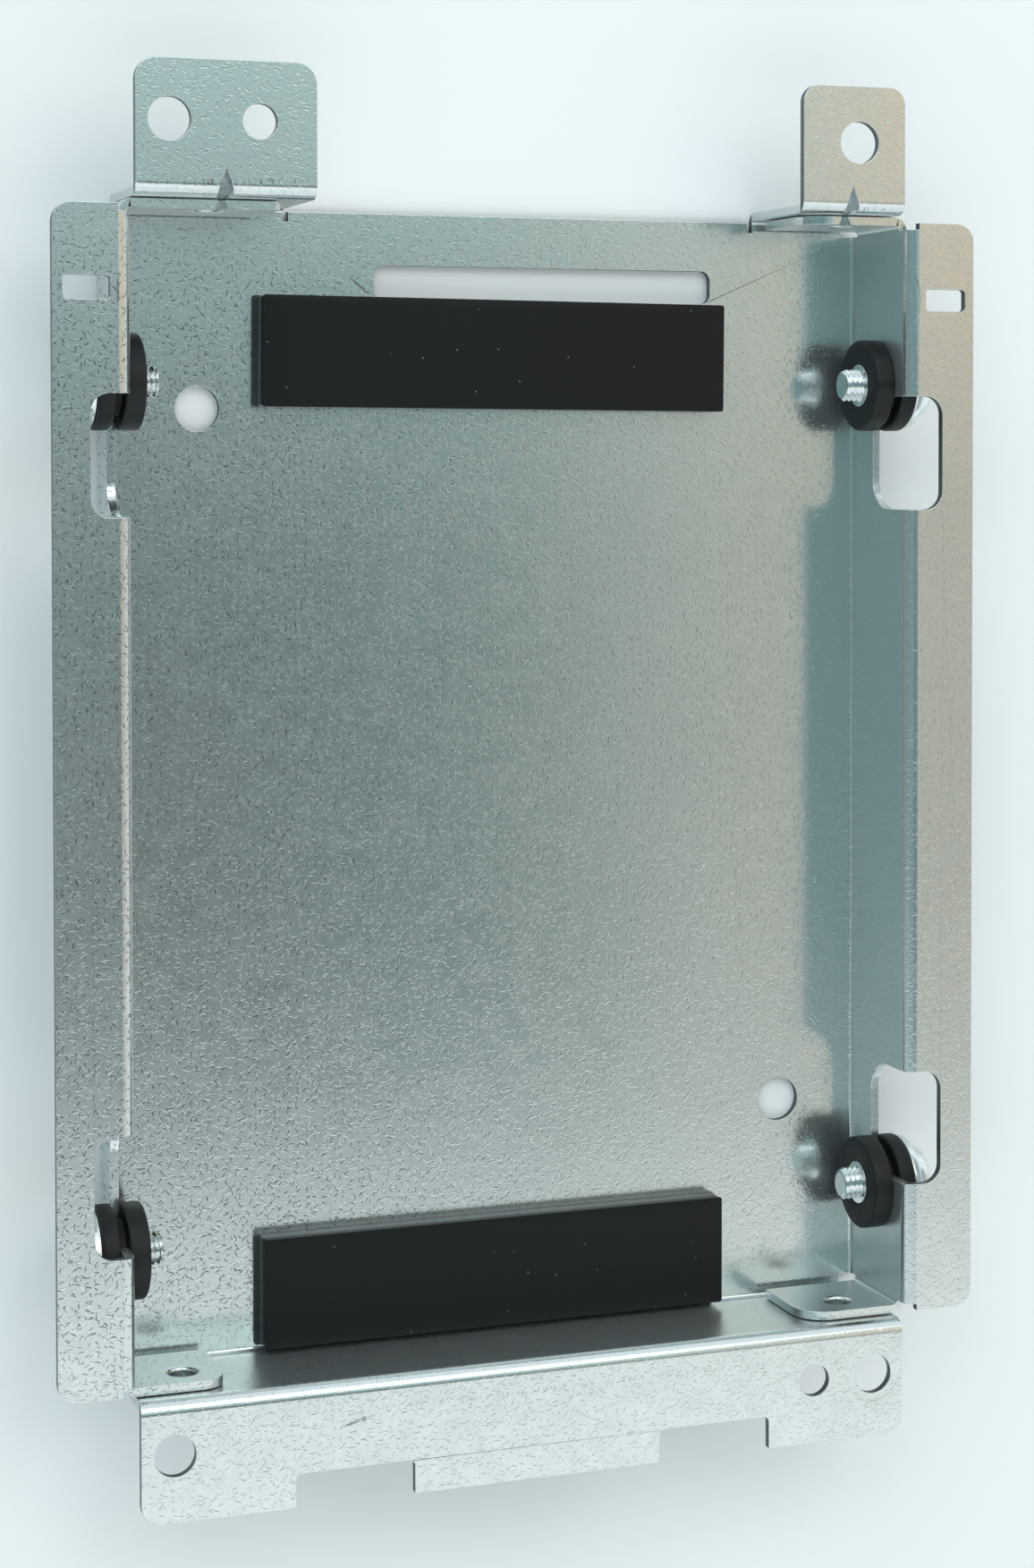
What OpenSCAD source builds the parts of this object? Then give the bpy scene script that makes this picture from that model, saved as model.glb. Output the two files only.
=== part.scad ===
// Tray that carries a 2.5-inch hard drive in a computer: a folded sheet pan with
// side flanges, two tabs and an apron, four rubber-mounted screws and two foam pads.
// It lies on its back. X runs across the bay, Y along it towards the tabs, Z out of
// the open side. The origin is the middle of the bay on the back of the floor.

/* [Sheet] */
// Thickness of the sheet
sheet = 0.8; // [0.6:0.1:1.0]
// Inner radius of every bend
bend_r = 0.4; // [0.3:0.1:0.6]
// Height of the pan, back of the floor to front of the flanges
pan_h = 12.5; // [12.2:0.1:14]

/* [Bay] */
// Clear width between the side walls
bay_w = 73.6; // [73.2:0.2:75]
// Clear length between the end walls
bay_l = 104; // [103.8:0.2:106]
// Space at each corner between the bends of a side wall and an end wall
corner_relief = 0.9; // [0.8:0.1:1.2]
// Height of the corner reliefs on the end walls
relief_h = 1.9; // [1.8:0.1:2.2]

/* [Flanges] */
// Width over both side flanges
flange_span = 87.4; // [87.2:0.2:90]
// Length of the side flanges
flange_l = 102.6; // [102.2:0.2:103]
// Radius of the flange corners
flange_corner = 1.7; // [1:0.1:2.5]
// Length of the slot in each flange, across the tray
flange_slot_l = 4.1; // [3:0.1:4.2]
// Width of the slot in each flange
flange_slot_w = 2.05; // [1.5:0.05:2.5]
// Place of the flange slots along the tray
flange_slot_y = 44.1; // [42:0.1:46]
// Place of the flange slots across the tray
flange_slot_x = 40.75; // [40.5:0.05:41]

/* [Drive] */
// Width of the drive that the tray takes
drive_w = 69.85; // [69.6:0.05:70.1]
// Height of the drive's side holes over its base
drive_hole_h = 3; // [2.9:0.05:3.2]
// Distance between the drive's side holes
hole_pitch = 76.6; // [76.2:0.1:77]
// Place of the middle of the screw rows along the tray
rows_y = -2.1; // [-2.5:0.1:-1.8]
// Height of the drive's base over the floor
drive_lift = 2; // [1.8:0.1:2.2]
// Thread diameter of the screws
screw_d = 3; // [2.9:0.1:3.1]

/* [Rubber grommets] */
// Diameter of the grommet flanges
grommet_d = 8.7; // [8:0.1:8.8]
// Thickness of the outer grommet flange
grommet_out = 1.6; // [1.4:0.1:2]
// Diameter of the grommet's seat in the side wall
seat_d = 6; // [5.6:0.1:6.2]
// Diameter of the screw's shoulder inside the rubber
shoulder_d = 4; // [3.8:0.1:4.4]
// Rounding of the grommet's rims
rim_r = 0.3; // [0.2:0.1:0.5]
// Radial play between screw, rubber and seat
play = 0.05; // [0.03:0.01:0.1]

/* [Screw heads] */
// Diameter of the flange under the head
head_flange_d = 8.2; // [7.6:0.1:8.4]
// Thickness of the flange under the head
head_flange_t = 0.8; // [0.6:0.1:1]
// Diameter of the pan head
head_d = 6; // [5.6:0.1:6.4]
// Height of the pan head
head_h = 1.6; // [1.4:0.1:1.8]
// Length of thread that stands out of the rubber
tip_l = 1.7; // [1.4:0.1:2]

/* [Side openings] */
// Length of each opening along the flange
opening_l = 10.65; // [10:0.05:11]
// Overlap of each opening and its grommet seat
opening_overlap = 1.9; // [1.6:0.1:2.2]
// Depth of each opening into the flange, from the bay
opening_in = 3.65; // [3.2:0.05:4]
// Height over the floor at which each opening ends in the wall
opening_low = 4.4; // [4:0.1:4.8]
// Radius of each opening's far corner in the wall
opening_r = 3; // [2:0.1:3.5]
// Radius of each opening's corners in the flange
opening_corner = 1.7; // [1:0.1:1.8]

/* [Floor] */
// Length of the slot in the floor
floor_slot_l = 33.45; // [30:0.05:35]
// Width of the slot in the floor
floor_slot_w = 3.15; // [2.5:0.05:3.5]
// Middle of the slot in the floor
floor_slot_at = [4.975, 45.525];
// Corner radius of the slot in the floor
floor_slot_r = 0.9; // [0.5:0.1:1.2]
// Places and diameters of the floor's two holes
floor_holes = [[-28.4, 33.9, 4.1], [28.9, -32.9, 4.2]];
// Distance of the floor's free edge beyond the middle
floor_edge = 51.8; // [51.5:0.1:52]

/* [Tabs] */
// Inner sides of the left and the right tab
tab_inner = [-20.4, 26.1];
// Outer side of the tabs and the apron
tab_outer = 36.5; // [36.2:0.1:36.5]
// Reach of the tabs from the middle of the bay
tab_reach = 63.8; // [62:0.2:66]
// Corner radii of the left and the right tab
tab_corner = [1.9, 1.6];
// Distance of the tab holes from the middle of the bay
tab_hole_y = 58.6; // [58:0.1:60]
// Places across and diameters of the tab holes
tab_holes = [[-33.5, 3.8], [-25.5, 3.1], [31.8, 3.9]];
// Width of the slits beside the tabs
slit_w = 0.5; // [0.4:0.1:0.8]
// Depth of the slits beside the tabs
slit_l = 0.9; // [0.7:0.1:1.2]

/* [Apron] */
// Reach of the apron from the middle of the bay
apron_reach = 62.7; // [61:0.1:64]
// Radius of the apron's lower corners
apron_corner = 1.8; // [1:0.1:2.5]
// Distance of the apron holes from the middle of the bay
apron_hole_y = 56.8; // [56.4:0.1:58]
// Places across and diameters of the apron holes
apron_holes = [[-33.5, 3.7], [27.35, 3], [33.4, 3.7]];
// Sides of each notch, from the middle of the tray
notch_x = [11.75, 22.7];
// Depth of the notches
notch_l = 3; // [2:0.1:3.5]
// Radius of the notches' inner corners
notch_r = 0.5; // [0.3:0.1:0.8]

/* [Corner flaps] */
// Lower and upper edges of the flaps, from the back
flap_z = [1.8, 10.7];
// Free ends of the flaps: upper left, upper right, lower left, lower right
flap_ends = [23.2, 27, 28.4, 27.2];
// Radii of the flaps' front corners, in the same order
flap_corners = [0.5, 3, 2, 3];
// Gap between a flap and its end wall
flap_gap = 0.1; // [0.05:0.05:0.2]
// Places of the pressed joints, in the same order
clinch_x = [29, 31.9, 31.7, 32.1];
// Height of the pressed joints over the back
clinch_z = 7.5; // [7:0.1:8]
// Diameter of the pressed joint's recess
clinch_d = 2.5; // [2.2:0.1:2.8]
// Depth of the pressed joint's recess
clinch_deep = 1.6; // [1.4:0.1:1.7]
// Wall of metal round the recess
clinch_wall = 0.65; // [0.5:0.05:0.8]
// Height of the pressed joint's button on the end wall
clinch_button = 0.8; // [0.6:0.1:1]
// Rounding of the recess mouth
clinch_mouth = 0.35; // [0.2:0.05:0.4]

/* [Bend gussets] */
// Places of the gussets in the bends of the tabs
gusset_x = [-28.5, 31.2];
// Reach of the gussets from the bend's sharp corner
gusset_reach = 2.6; // [2.2:0.1:3]
// Width of the gusset's groove for each millimetre of its depth
gusset_flare = 1; // [0.8:0.1:1.2]

/* [Foam pads] */
// Width of the pads along the tray
pad_w = 10.1; // [9.6:0.1:10.2]
// Length of the pads across the tray
pad_l = 45.1; // [44:0.1:46]
// Middle and turn of the upper pad
upper_pad_at = [-0.3, 38.95, -0.5];
// Middle and turn of the lower pad
lower_pad_at = [-0.45, -46.45, 0];
// Thickness of the adhesive tape
tape_t = 0.25; // [0.15:0.05:0.3]
// Length of tape that shows past a pad's left end
tape_over = 0.5; // [0.2:0.1:0.8]
// Squeeze of the foam under a drive
foam_squeeze = 0.2; // [0.1:0.05:0.4]

/* [Hidden] */
$fn = 48;
past = 1;

outer_r = bend_r + sheet;
wall_in = bay_w / 2;
wall_out = wall_in + sheet;
end_in = bay_l / 2;
end_out = end_in + sheet;
fold_x = wall_in - bend_r;
fold_y = end_in - bend_r;
flange_fold = wall_out + bend_r;
fold_top = pan_h - outer_r;
flange_x = flange_span / 2;
flap_out = end_in - flap_gap;
flap_in = flap_out - sheet;
flap_fold = flap_out - outer_r;
relief_x = fold_x - corner_relief;
screw_z = sheet + drive_lift + drive_hole_h;
opening_z = sheet + opening_low;
grommet_face = drive_w / 2 + play / 2;
head_face = wall_out + grommet_out;
foam_t = drive_lift + foam_squeeze - tape_t;
gusset_drop = gusset_reach / sqrt(2);
galvanised = [0.70, 0.76, 0.76];
rubber = [0.16, 0.16, 0.17];
foam = [0.11, 0.12, 0.13];
zinc = [0.82, 0.83, 0.84];

// Rectangle from lo to hi with corner radii r: lower left, lower right, upper right, upper left
module plate(lo, hi, r) {
    difference() {
        translate(lo) square(hi - lo);
        for (k = [0:3]) if (r[k] > 0) {
            out = [(k == 1 || k == 2) ? 1 : -1, k > 1 ? 1 : -1];
            tip = [out.x > 0 ? hi.x : lo.x, out.y > 0 ? hi.y : lo.y];
            centre = tip - r[k] * out;
            difference() {
                translate(centre + out * r[k] / 2 + out * past / 2)
                    square(r[k] + past, center = true);
                translate(centre) circle(r[k]);
            }
        }
    }
}

// Section of one bend: a quarter ring about the origin, in the quadrant of dir
module bend_section(dir) {
    intersection() {
        difference() {
            circle(outer_r);
            circle(bend_r);
        }
        translate([dir.x > 0 ? 0 : -outer_r, dir.y > 0 ? 0 : -outer_r]) square(outer_r);
    }
}

// Section across the tray, drawn in X and Z: floor, side walls and flanges
module pan_section() {
    translate([-fold_x, 0]) square([2 * fold_x, sheet]);
    for (side = [0, 1]) mirror([side, 0]) {
        translate([fold_x, outer_r]) bend_section([1, -1]);
        translate([wall_in, outer_r]) square([sheet, fold_top - outer_r]);
        translate([flange_fold, fold_top]) bend_section([-1, 1]);
        translate([flange_fold, pan_h - sheet]) square([flange_x - flange_fold, sheet]);
    }
}

// Outline of the pan from the front: the flanges run a little past the side walls
module pan_outline() {
    difference() {
        plate([-flange_x, -flange_l / 2], [flange_x, flange_l / 2], flange_corner * [1, 1, 1, 1]);
        for (y = [flap_fold, -flap_fold - sheet * 2])
            translate([-flange_fold, y]) square([2 * flange_fold, sheet * 2]);
    }
}

// Section of an end wall, drawn in Y and Z: floor strip, wall and its outward leaf
module end_section(reach) {
    translate([flap_fold - past, 0]) square([fold_y - flap_fold + past, sheet]);
    translate([fold_y, outer_r]) bend_section([1, -1]);
    translate([end_in, outer_r]) square([sheet, fold_top - outer_r]);
    translate([end_out + bend_r, fold_top]) bend_section([-1, 1]);
    translate([end_out + bend_r, pan_h - sheet])
        square([reach - end_out - bend_r, sheet]);
}

// End wall between two places across the tray, cut to the outline given as children
module end_wall(x_lo, x_hi, reach) {
    intersection() {
        translate([x_lo, 0, 0]) rotate([90, 0, 90]) linear_extrude(x_hi - x_lo) end_section(reach);
        linear_extrude(pan_h) children();
    }
}

// Space left at the four corners of the folded blank
module corner_reliefs() {
    for (x = [relief_x, -relief_x - corner_relief * 2], y = [fold_y, -fold_y])
        translate([x, y < 0 ? y - outer_r - past : flap_fold, -past])
            cube([corner_relief * 2, fold_y + outer_r + past - flap_fold, relief_h + past]);
}

module tab(lo, hi, corner) {
    end_wall(lo, hi, tab_reach)
        plate([lo, 0], [hi, tab_reach], [0, 0, corner, corner]);
}

// Apron with its two notches; drawn towards +Y and mirrored to the lower end
module apron() {
    mirror([0, 1, 0]) end_wall(-tab_outer, tab_outer, apron_reach) difference() {
        plate([-tab_outer, 0], [tab_outer, apron_reach], [0, 0, apron_corner, apron_corner]);
        for (side = [0, 1]) mirror([side, 0])
            plate([notch_x[0], apron_reach - notch_l], [notch_x[1], apron_reach + past],
                [notch_r, notch_r, 0, 0]);
    }
}

// Strip of floor between the tabs, with a slit beside each tab
module free_edge() {
    width = tab_inner[1] - tab_inner[0];
    linear_extrude(sheet) translate([tab_inner[0], flap_fold - past]) {
        square([width, floor_edge - slit_l - flap_fold + past]);
        translate([slit_w, 0]) square([width - 2 * slit_w, floor_edge - flap_fold + past]);
    }
}

// Flap that folds in from a side wall and lies against the end wall
module flap(end, corner) {
    intersection() {
        translate([0, 0, flap_z[0]]) linear_extrude(flap_z[1] - flap_z[0]) {
            translate([fold_x, flap_fold]) bend_section([1, 1]);
            translate([end, flap_in]) square([fold_x - end, sheet]);
        }
        translate([0, flap_out + past, 0]) rotate([90, 0, 0]) linear_extrude(outer_r + 2 * past)
            plate([end, flap_z[0]], [wall_out, flap_z[1]], [0, 0, 0, corner]);
    }
}

// Metal that the punch drives through a flap and its end wall
module clinch_body() {
    rotate([-90, 0, 0])
        cylinder(h = end_out - flap_in + clinch_button, d = clinch_d + 2 * clinch_wall);
}

// Recess that the punch leaves, with a rounded mouth
module clinch_recess() {
    mouth = clinch_d / 2 + clinch_mouth;
    rotate([-90, 0, 0]) rotate_extrude() difference() {
        union() {
            translate([0, -past]) square([clinch_d / 2, clinch_deep + past]);
            square([mouth, clinch_mouth]);
            translate([0, -past]) square([mouth, past]);
        }
        translate([mouth, clinch_mouth]) circle(clinch_mouth);
    }
}

// Places its children at a corner: 0 and 1 are the upper end, 2 and 3 the lower
module at_corner(k) {
    mirror([k % 2 == 0 ? 1 : 0, 0, 0]) mirror([0, k > 1 ? 1 : 0, 0]) children();
}

// Prism along the line from an end wall to its tab, as deep as drop from the sharp corner
module gusset_prism(drop, lift) {
    half = gusset_flare * lift / 2;
    translate([0, end_in, pan_h]) rotate([45, 0, 0]) translate([0, 0, -drop])
        rotate([90, 0, 0]) linear_extrude(4 * gusset_reach, center = true)
            polygon([[0, 0], [half, lift], [-half, lift]]);
}

// Web of a gusset: it stands in the corner under the tab, one sheet behind the groove
module gusset_web() {
    intersection() {
        gusset_prism(gusset_drop + sheet, gusset_drop + sheet);
        translate([-gusset_reach, end_in + sheet / 2, pan_h - sheet / 2 - 2 * gusset_reach])
            cube(2 * gusset_reach);
    }
}

// Opening in the side wall and flange, with the round seat that the grommet slides into.
// Drawn for the upper right corner of the bay, about the screw's axis along Y.
module side_opening() {
    y_hi = -seat_d / 2 + opening_overlap;
    y_lo = y_hi - opening_l;
    translate([0, 0, fold_top - past]) linear_extrude(outer_r + 2 * past)
        plate([wall_in - past, y_lo], [wall_in + opening_in, y_hi], opening_corner * [0, 1, 1, 0]);
    translate([wall_in - past, 0, 0]) rotate([90, 0, 90])
        linear_extrude(flange_fold - wall_in + past) {
            plate([y_lo, opening_z], [y_hi, pan_h + past], [opening_r, 0, 0, 0]);
            translate([0, screw_z]) circle(d = seat_d);
        }
}

module tray() {
    color(galvanised) difference() {
        union() {
            intersection() {
                rotate([90, 0, 0]) linear_extrude(flange_l, center = true) pan_section();
                linear_extrude(pan_h) pan_outline();
            }
            difference() {
                union() {
                    tab(-tab_outer, tab_inner[0], tab_corner[0]);
                    tab(tab_inner[1], tab_outer, tab_corner[1]);
                    apron();
                    free_edge();
                }
                corner_reliefs();
            }
            for (k = [0:3]) at_corner(k) {
                flap(flap_ends[k], flap_corners[k]);
                translate([clinch_x[k], flap_in, clinch_z]) clinch_body();
            }
            for (x = gusset_x) translate([x, 0, 0]) gusset_web();
        }
        for (k = [0:3]) at_corner(k)
            translate([clinch_x[k], flap_in, clinch_z]) clinch_recess();
        for (x = gusset_x) translate([x, 0, 0]) gusset_prism(gusset_drop, gusset_drop + past);
        for (side = [0, 1], row = [-1, 1]) mirror([side, 0, 0])
            translate([0, rows_y + row * hole_pitch / 2, 0]) {
                if (row > 0) side_opening();
                else mirror([0, 1, 0]) side_opening();
            }
        for (side = [0, 1]) mirror([side, 0, 0])
            translate([flange_slot_x, flange_slot_y, fold_top]) linear_extrude(outer_r + past)
                plate([-flange_slot_l, -flange_slot_w] / 2, [flange_slot_l, flange_slot_w] / 2,
                    bend_r * [1, 1, 1, 1]);
        translate([floor_slot_at.x, floor_slot_at.y, -past]) linear_extrude(sheet + 2 * past)
            plate([-floor_slot_l, -floor_slot_w] / 2, [floor_slot_l, floor_slot_w] / 2,
                floor_slot_r * [1, 1, 1, 1]);
        for (h = floor_holes) translate([h[0], h[1], -past]) cylinder(h = sheet + 2 * past, d = h[2]);
        for (h = tab_holes) translate([h[0], tab_hole_y, fold_top]) cylinder(h = outer_r + past, d = h[1]);
        for (h = apron_holes) translate([h[0], -apron_hole_y, fold_top])
            cylinder(h = outer_r + past, d = h[1]);
    }
}

// Places its children on a screw's axis, with +X running out of the bay
module at_screw(left, row) {
    mirror([left ? 1 : 0, 0, 0]) translate([0, rows_y + row * hole_pitch / 2, screw_z]) children();
}

// Half section of a disc with rounded rims, from x_lo to x_hi along the axis
module rim_section(x_lo, x_hi, d) {
    plate([0, x_lo], [d / 2, x_hi], rim_r * [0, 1, 1, 0]);
}

// Rubber grommet: two flanges and a neck that fills the seat
module grommet() {
    color(rubber) rotate([0, 90, 0]) rotate_extrude() difference() {
        union() {
            rim_section(grommet_face, wall_in, grommet_d);
            translate([0, wall_in - rim_r]) square([seat_d / 2 - play, sheet + 2 * rim_r]);
            rim_section(wall_out, head_face, grommet_d);
        }
        translate([-past, grommet_face - past])
            square([shoulder_d / 2 + play + past, head_face - grommet_face + 2 * past]);
    }
}

// Shoulder screw: threaded tip, shoulder through the rubber, flange and pan head
module screw() {
    color(zinc) rotate([0, 90, 0]) {
        translate([0, 0, grommet_face - tip_l]) cylinder(h = tip_l + past, d = screw_d);
        translate([0, 0, grommet_face]) cylinder(h = head_face - grommet_face, d = shoulder_d);
        translate([0, 0, head_face]) cylinder(h = head_flange_t, d = head_flange_d);
        translate([0, 0, head_face + head_flange_t]) cylinder(h = head_h, d = head_d);
    }
}

// Foam of a pad, on top of its tape
module pad(at) {
    color(foam) translate([at[0], at[1], sheet + tape_t]) rotate([0, 0, at[2]])
        translate([-pad_l / 2, -pad_w / 2, 0]) cube([pad_l, pad_w, foam_t]);
}

// Adhesive tape under a pad
module tape(at) {
    color(foam) translate([at[0], at[1], sheet]) rotate([0, 0, at[2]])
        translate([-pad_l / 2 - tape_over, -pad_w / 2, 0]) cube([pad_l + tape_over, pad_w, tape_t]);
}

module upper_pad() { pad(upper_pad_at); }
module lower_pad() { pad(lower_pad_at); }
module upper_tape() { tape(upper_pad_at); }
module lower_tape() { tape(lower_pad_at); }
module upper_left_grommet() { at_screw(true, 1) grommet(); }
module upper_right_grommet() { at_screw(false, 1) grommet(); }
module lower_left_grommet() { at_screw(true, -1) grommet(); }
module lower_right_grommet() { at_screw(false, -1) grommet(); }
module upper_left_screw() { at_screw(true, 1) screw(); }
module upper_right_screw() { at_screw(false, 1) screw(); }
module lower_left_screw() { at_screw(true, -1) screw(); }
module lower_right_screw() { at_screw(false, -1) screw(); }

tray();
upper_pad();
lower_pad();
upper_tape();
lower_tape();
upper_left_grommet();
upper_right_grommet();
lower_left_grommet();
lower_right_grommet();
upper_left_screw();
upper_right_screw();
lower_left_screw();
lower_right_screw();
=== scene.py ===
import math

import bmesh
import bpy
import numpy as np
from mathutils import Matrix, Vector


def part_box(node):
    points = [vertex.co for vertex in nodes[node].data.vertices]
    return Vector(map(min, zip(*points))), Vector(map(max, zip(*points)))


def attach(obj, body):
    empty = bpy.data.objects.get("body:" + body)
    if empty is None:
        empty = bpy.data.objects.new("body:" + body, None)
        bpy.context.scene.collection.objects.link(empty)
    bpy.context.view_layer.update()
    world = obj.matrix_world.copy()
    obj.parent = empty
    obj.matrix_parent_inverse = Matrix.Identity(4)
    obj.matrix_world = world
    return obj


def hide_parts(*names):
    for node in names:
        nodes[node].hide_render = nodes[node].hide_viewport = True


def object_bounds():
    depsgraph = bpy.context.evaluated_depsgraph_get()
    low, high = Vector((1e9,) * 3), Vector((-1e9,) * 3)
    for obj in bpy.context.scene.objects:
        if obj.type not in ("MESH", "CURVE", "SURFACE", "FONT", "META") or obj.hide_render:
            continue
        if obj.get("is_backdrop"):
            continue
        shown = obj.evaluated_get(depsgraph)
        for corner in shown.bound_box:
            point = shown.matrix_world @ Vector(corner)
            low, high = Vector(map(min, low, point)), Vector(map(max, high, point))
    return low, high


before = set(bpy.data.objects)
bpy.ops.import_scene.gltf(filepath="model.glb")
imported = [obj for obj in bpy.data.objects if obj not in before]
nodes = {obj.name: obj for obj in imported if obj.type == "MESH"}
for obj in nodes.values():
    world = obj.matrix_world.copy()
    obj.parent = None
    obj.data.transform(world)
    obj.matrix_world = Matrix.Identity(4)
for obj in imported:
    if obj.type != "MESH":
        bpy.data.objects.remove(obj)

cad_low, cad_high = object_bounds()
MM = 0.001

# Camera
# The tray lies on its back, and the camera looks down on it along the photograph's line
# of sight: from the left, at 20 degrees to the floor's normal. The vertical shift keeps
# the tray's long sides converging as they do there.
picture_px = (1156, 1753)
camera_at = Vector((-90.7, 31.1, 261.6)) * MM
camera_looks = Vector((0.3352, -0.0277, -0.9417)).normalized()
camera_right = Vector((0.9421, -0.0013, 0.3354))
focal_px = 3310
sensor_mm = 36

camera_right = (camera_right - camera_right.dot(camera_looks) * camera_looks).normalized()
camera_up = camera_right.cross(camera_looks)
camera = bpy.data.objects.new("camera", bpy.data.cameras.new("camera"))
bpy.context.scene.collection.objects.link(camera)
camera.matrix_world = Matrix.Translation(camera_at) @ Matrix(
    (camera_right, camera_up, -camera_looks)).transposed().to_4x4()
camera.data.sensor_width = sensor_mm
camera.data.lens = focal_px / picture_px[1] * sensor_mm
camera.data.shift_y = -0.1674
camera.data.clip_start = 0.01
camera.data.clip_end = 20
bpy.context.scene.camera = camera
bpy.context.scene.view_settings.view_transform = "Standard"


# Stage
# A sheet of matte white card, wide enough to fill every view. It takes the tray's soft
# shadow and shows through the tray's openings.
def linear(hex_colour):
    """Linear RGBA of an sRGB hex colour: c/12.92 up to 0.04045, else ((c+0.055)/1.055)^2.4."""
    c = np.array([int(hex_colour[i:i + 2], 16) for i in (1, 3, 5)]) / 255
    c = np.where(c <= 0.04045, c / 12.92, ((c + 0.055) / 1.055) ** 2.4)
    return (*c.tolist(), 1.0)


def add(tree, kind, settings=(), links=()):
    """Adds a node. settings: (property or input, value) pairs; links: (input, socket) pairs."""
    node = tree.nodes.new(kind)
    for name, value in settings:
        if isinstance(name, str) and hasattr(node, name):
            setattr(node, name, value)
        else:
            node.inputs[name].default_value = value
    for name, socket in links:
        tree.links.new(socket, node.inputs[name])
    return node


def start_material(name):
    """An empty material: its tree, its Principled shader and its Object coordinates."""
    material = bpy.data.materials.new(name)
    material.use_nodes = True
    tree = material.node_tree
    tree.nodes.clear()
    shader = add(tree, "ShaderNodeBsdfPrincipled")
    add(tree, "ShaderNodeOutputMaterial", links=[("Surface", shader.outputs[0])])
    place = add(tree, "ShaderNodeTexCoord").outputs["Object"]
    return material, tree, shader, place


card_half = 3.0
card_level = -0.02 * MM
# White card scatters light evenly and has next to no gloss.
card, tree, shader, place = start_material("matte_white_card")
shader.inputs["Base Color"].default_value = linear("#F0F3F4")
shader.inputs["Roughness"].default_value = 0.9
shader.inputs["Specular IOR Level"].default_value = 0.1
sheet_of_card = bpy.data.meshes.new("card")
sheet_of_card.from_pydata([(x * card_half, y * card_half, card_level)
                           for x, y in ((-1, -1), (1, -1), (1, 1), (-1, 1))], [], [(0, 1, 2, 3)])
sheet_of_card.materials.append(card)
stage = bpy.data.objects.new("stage_card", sheet_of_card)
bpy.context.scene.collection.objects.link(stage)
stage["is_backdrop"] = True

# Light
# A pale room, a soft box at the upper right and a wider one at the upper left. The sheet
# metal mirrors the room, which is dim overhead, warmer at the right and bright in front.
world = bpy.data.worlds.new("studio")
world.use_nodes = True
bpy.context.scene.world = world
tree = world.node_tree
tree.nodes.clear()
direction = add(tree, "ShaderNodeTexCoord").outputs["Generated"]
axes = add(tree, "ShaderNodeSeparateXYZ", links=[("Vector", direction)]).outputs
across = add(tree, "ShaderNodeMapRange", [("From Min", -1.0), ("From Max", 1.0)],
             [("Value", axes["X"])]).outputs["Result"]
side_tones = add(tree, "ShaderNodeValToRGB", links=[("Fac", across)])
# Each tone stands at its share of the way from the left of the room to the right.
room_tones = ((0.0, "#6E8082"), (0.28, "#688E90"), (0.46, "#56676A"), (0.585, "#6A7878"),
              (0.615, "#535C5B"), (0.665, "#4F7475"), (0.70, "#BBB9AE"), (0.76, "#B1A89A"),
              (1.0, "#D2D2CE"))
ramp = side_tones.color_ramp
ramp.interpolation = "EASE"
ramp.elements.remove(ramp.elements[1])
ramp.elements[0].color = linear(room_tones[0][1])
for at, colour in room_tones[1:]:
    ramp.elements.new(at).color = linear(colour)
# In front of the tray the room is bright.
front = add(tree, "ShaderNodeMapRange",
            [("interpolation_type", "SMOOTHSTEP"), ("From Min", -0.21), ("From Max", -0.30)],
            [("Value", axes["Y"])]).outputs["Result"]
# Behind the tray it is pale, and warm at the right.
behind = add(tree, "ShaderNodeMapRange",
             [("interpolation_type", "SMOOTHSTEP"), ("From Min", -0.07), ("From Max", 0.20)],
             [("Value", axes["Y"])]).outputs["Result"]
behind_right = add(tree, "ShaderNodeMapRange", [("From Min", -0.3), ("From Max", 0.1)],
                   [("Value", axes["X"])]).outputs["Result"]
behind_left = add(tree, "ShaderNodeMapRange", [("From Min", 0.80), ("From Max", 0.64)],
                  [("Value", axes["X"])]).outputs["Result"]
for limit in (behind_right, behind_left):
    behind = add(tree, "ShaderNodeMath", [("operation", "MULTIPLY")],
                 [(0, behind), (1, limit)]).outputs[0]
warm_side = add(tree, "ShaderNodeMapRange", [("From Min", 0.41), ("From Max", 0.46)],
                [("Value", axes["X"])]).outputs["Result"]
behind_tone = add(tree, "ShaderNodeMix",
                  [("data_type", "RGBA"), (6, linear("#B9D2D2")), (7, linear("#FFD9B0"))],
                  [(0, warm_side)]).outputs[2]
room = add(tree, "ShaderNodeMix", [("data_type", "RGBA")],
           [(0, behind), (6, side_tones.outputs["Color"]), (7, behind_tone)]).outputs[2]
room = add(tree, "ShaderNodeMix", [("data_type", "RGBA"), (7, linear("#FAFFFF"))],
           [(0, front), (6, room)]).outputs[2]
# Its end walls are pale below the ceiling.
walls = add(tree, "ShaderNodeMapRange",
            [("interpolation_type", "SMOOTHSTEP"), ("From Min", 0.80), ("From Max", 0.55)],
            [("Value", axes["Z"])]).outputs["Result"]
endways = add(tree, "ShaderNodeMath", [("operation", "ABSOLUTE")], [(0, axes["Y"])]).outputs[0]
endways = add(tree, "ShaderNodeMapRange", [("From Min", 0.12), ("From Max", 0.45)],
              [("Value", endways)]).outputs["Result"]
walls = add(tree, "ShaderNodeMath", [("operation", "MULTIPLY")],
            [(0, walls), (1, endways)]).outputs[0]
room = add(tree, "ShaderNodeMix", [("data_type", "RGBA"), (7, linear("#E6F0F5"))],
           [(0, walls), (6, room)]).outputs[2]
glow = add(tree, "ShaderNodeBackground", [("Strength", 1.3)], [("Color", room)])
add(tree, "ShaderNodeOutputWorld", links=[("Surface", glow.outputs[0])])

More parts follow.
